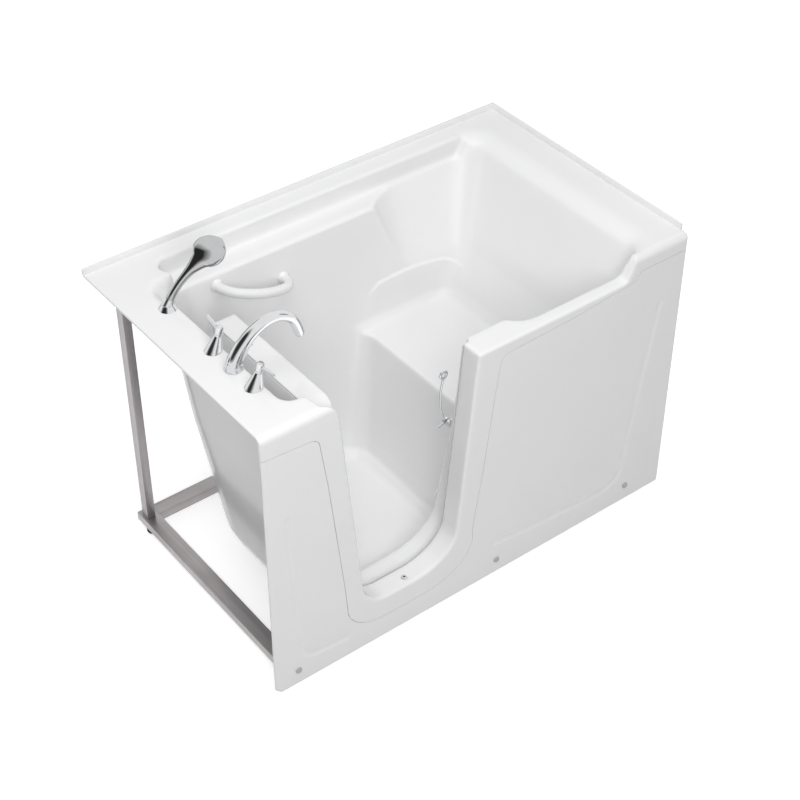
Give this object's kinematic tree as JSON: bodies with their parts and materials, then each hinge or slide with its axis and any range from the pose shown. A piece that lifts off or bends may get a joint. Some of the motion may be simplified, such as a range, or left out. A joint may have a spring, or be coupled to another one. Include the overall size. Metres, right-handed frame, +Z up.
{
  "type": "walk-in jetted bathtub",
  "caption": "Walk-in jetted bathtub with moulded seat, inward-opening side door, deck taps, hand shower, grab bar and steel base frame.",
  "frame": {"origin": "on the floor under the centre of the bath", "axes": "+X along the length away from the taps, +Y towards the back wall, +Z up"},
  "size_m": [1.524, 0.9105, 1.1661],
  "materials": {
    "shell_gloss": "gloss",
    "screw_steel": "satin",
    "cap_grey": "gloss",
    "brushed_frame": "brushed",
    "black_rubber": "matt",
    "plain_steel": "satin",
    "bearer_board": "matt",
    "seal_silicone": "satin",
    "chrome": "polished",
    "spray_grey": "matt",
    "brass": "satin",
    "steel_braid": "braided",
    "pipe_white": "satin",
    "pipe_black": "satin",
    "motor_paint": "satin"
  },
  "bodies": {
    "base": {"tub_shell": "shell_gloss", "front_panel": "shell_gloss", "panel_screws": "screw_steel", "screw_caps": "cap_grey", "end_rails": "brushed_frame", "long_rails": "brushed_frame", "cross_bars": "brushed_frame", "frame_posts": "brushed_frame", "foot_pads": "black_rubber", "foot_studs": "plain_steel", "foot_nuts": "plain_steel", "floor_bearers": "bearer_board", "seat_props": "brushed_frame", "door_seal": "seal_silicone", "hinge_brackets": "plain_steel", "hinge_pins": "plain_steel", "latch_bracket": "chrome", "grab_bar": "shell_gloss", "spout": "chrome", "spout_base": "chrome", "spout_aerator": "spray_grey", "tap_base_hot": "chrome", "tap_base_cold": "chrome", "valve_bodies": "brass", "deck_nuts": "brass", "mixing_pipe": "brass", "shower_cradle": "chrome", "shower_tail": "steel_braid", "drain_flange": "chrome", "drain_body": "pipe_black", "waste_pipe": "pipe_white", "overflow_plate": "chrome", "sill_drain": "chrome", "jet_rings": "chrome", "jet_cups": "pipe_white", "jet_manifold": "pipe_white", "pressure_pipe": "pipe_white", "suction_grille": "pipe_white", "suction_pipe": "pipe_white", "pump_volute": "pipe_black", "pump_motor": "motor_paint", "pump_tray": "brushed_frame"},
    "door": {"door_shell": "shell_gloss", "door_back": "shell_gloss", "door_catch": "chrome", "rod_keeper": "chrome"},
    "latch": {"latch_lever": "chrome"},
    "hot_tap": {"tap_lever_hot": "chrome"},
    "cold_tap": {"tap_lever_cold": "chrome"},
    "shower_head": {"hand_shower": "chrome", "spray_face": "spray_grey"},
    "overflow_control": {"overflow_knob": "chrome"},
    "stopper": {"drain_stopper": "chrome"},
    "jet_1": {"jet_nozzle_1": "chrome"},
    "jet_2": {"jet_nozzle_2": "chrome"},
    "jet_3": {"jet_nozzle_3": "chrome"},
    "jet_4": {"jet_nozzle_4": "chrome"},
    "air_control": {"air_knob": "chrome"},
    "pump_switch": {"pump_button": "chrome"}
  },
  "joints": [
    {"name": "door_swing", "type": "hinge", "parent": "base", "child": "door", "pos_m": [-0.494, -0.345, 0.56], "axis": [0, 0, 1], "range_deg": [-90, 0]},
    {"name": "latch_turn", "type": "hinge", "parent": "base", "child": "latch", "pos_m": [-0.012, -0.288, 0.561], "axis": [0, -1, 0], "range_deg": [0, 90]},
    {"name": "hot_tap_turn", "type": "hinge", "parent": "base", "child": "hot_tap", "pos_m": [-0.65, -0.068, 0.997], "axis": [0.342, 0, 0.9397], "range_deg": [-90, 0]},
    {"name": "cold_tap_turn", "type": "hinge", "parent": "base", "child": "cold_tap", "pos_m": [-0.65, -0.264, 0.997], "axis": [0.342, 0, 0.9397], "range_deg": [0, 90]},
    {"name": "shower_lift", "type": "slide", "parent": "base", "child": "shower_head", "axis": [0.5446, 0, 0.8387], "range_m": [0, 0.15]},
    {"name": "overflow_turn", "type": "hinge", "parent": "base", "child": "overflow_control", "pos_m": [0.052, -0.3558, 0.85], "axis": [0, 0.9972, 0.075], "range_deg": [0, 90]},
    {"name": "stopper_lift", "type": "slide", "parent": "base", "child": "stopper", "axis": [0, 0, 1], "range_m": [-0.0042, 0]},
    {"name": "air_turn", "type": "hinge", "parent": "base", "child": "air_control", "pos_m": [0.3, -0.3953, 0.865], "axis": [0, 0.9751, 0.2215], "range_deg": [-120, 120]},
    {"name": "button_press", "type": "slide", "parent": "base", "child": "pump_switch", "axis": [0, -0.9751, -0.2215], "range_m": [0, 0.0027], "stiffness_N_per_m": 600, "springref_m": -0.001},
    {"name": "jet_1_tilt", "type": "hinge", "parent": "base", "child": "jet_1", "pos_m": [0.16, -0.34239, 0.60471], "axis": [1, 0, 0], "range_deg": [-12, 12]},
    {"name": "jet_2_tilt", "type": "hinge", "parent": "base", "child": "jet_2", "pos_m": [0.29, -0.34239, 0.60471], "axis": [1, 0, 0], "range_deg": [-12, 12]},
    {"name": "jet_3_tilt", "type": "hinge", "parent": "base", "child": "jet_3", "pos_m": [0.3, -0.37525, 0.75911], "axis": [1, 0, 0], "range_deg": [-12, 12]},
    {"name": "jet_4_tilt", "type": "hinge", "parent": "base", "child": "jet_4", "pos_m": [0.42, -0.37525, 0.75911], "axis": [1, 0, 0], "range_deg": [-12, 12]}
  ],
  "couplings": [
    {"joint": "stopper_lift", "follows": "overflow_turn", "m_per_rad": -0.0026}
  ]
}
